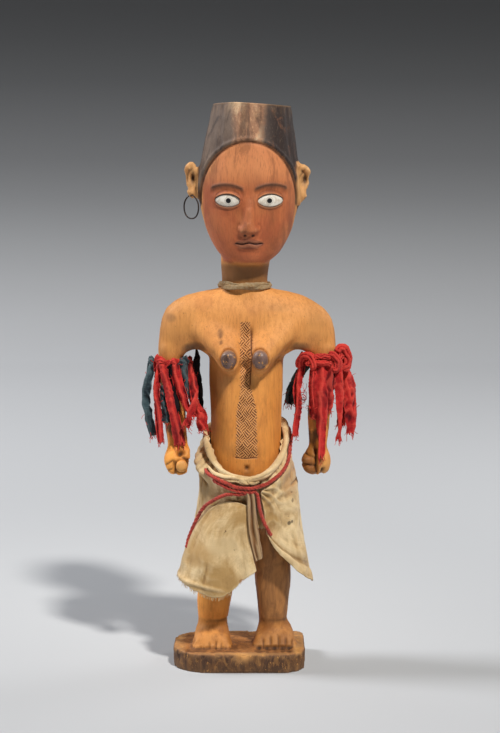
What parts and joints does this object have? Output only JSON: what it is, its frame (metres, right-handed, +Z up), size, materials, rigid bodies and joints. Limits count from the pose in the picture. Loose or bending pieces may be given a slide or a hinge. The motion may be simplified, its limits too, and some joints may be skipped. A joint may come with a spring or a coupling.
{
  "type": "standing female figure",
  "caption": "Carved wooden female figure on a low base, with a cap, inlaid eyes, a cloth wrapper, a red waist cord and bundles of cloth strips tied on the arms.",
  "frame": {"origin": "centre of the base's flat underside", "axes": "+Z up, the figure faces -Y, its own left side is at +X"},
  "size_m": [0.1577, 0.0791, 0.4246],
  "materials": {
    "wood": "worn ochre-orange wood with a red-ochre face, a dark cap and a darker base",
    "eye": "white inlay with a dark pupil",
    "iron": "dark wire",
    "necklace_cloth": "twisted cream cotton",
    "wrapper_cloth": "stained cream cotton",
    "red_cord": "spun red cord",
    "red_cloth": "torn red cotton",
    "dark_cloth": "torn dark blue cotton"
  },
  "bodies": {
    "root": {"figure": "wood", "eye_right": "eye", "eye_left": "eye", "earring": "iron", "necklace_cord": "necklace_cloth", "hip_wrapper": "wrapper_cloth", "waist_cord": "red_cord", "waist_cord_long_end": "red_cord", "waist_cord_short_end": "red_cord", "arm_band_right": "red_cloth", "arm_band_left": "red_cloth", "strip_right_red_1": "red_cloth", "strip_right_red_2": "red_cloth", "strip_right_red_3": "red_cloth", "strip_right_red_4": "red_cloth", "strip_right_red_5": "red_cloth", "strip_right_red_6": "red_cloth", "strip_left_red_1": "red_cloth", "strip_left_red_2": "red_cloth", "strip_left_red_3": "red_cloth", "strip_left_red_4": "red_cloth", "strip_left_red_5": "red_cloth", "strip_left_red_6": "red_cloth", "strip_left_red_7": "red_cloth", "strip_left_red_8": "red_cloth", "strip_right_navy_1": "dark_cloth", "strip_right_navy_2": "dark_cloth", "strip_right_navy_3": "dark_cloth", "strip_right_black_1": "dark_cloth", "strip_right_black_2": "dark_cloth", "strip_left_navy_1": "dark_cloth"}
  },
  "joints": []
}
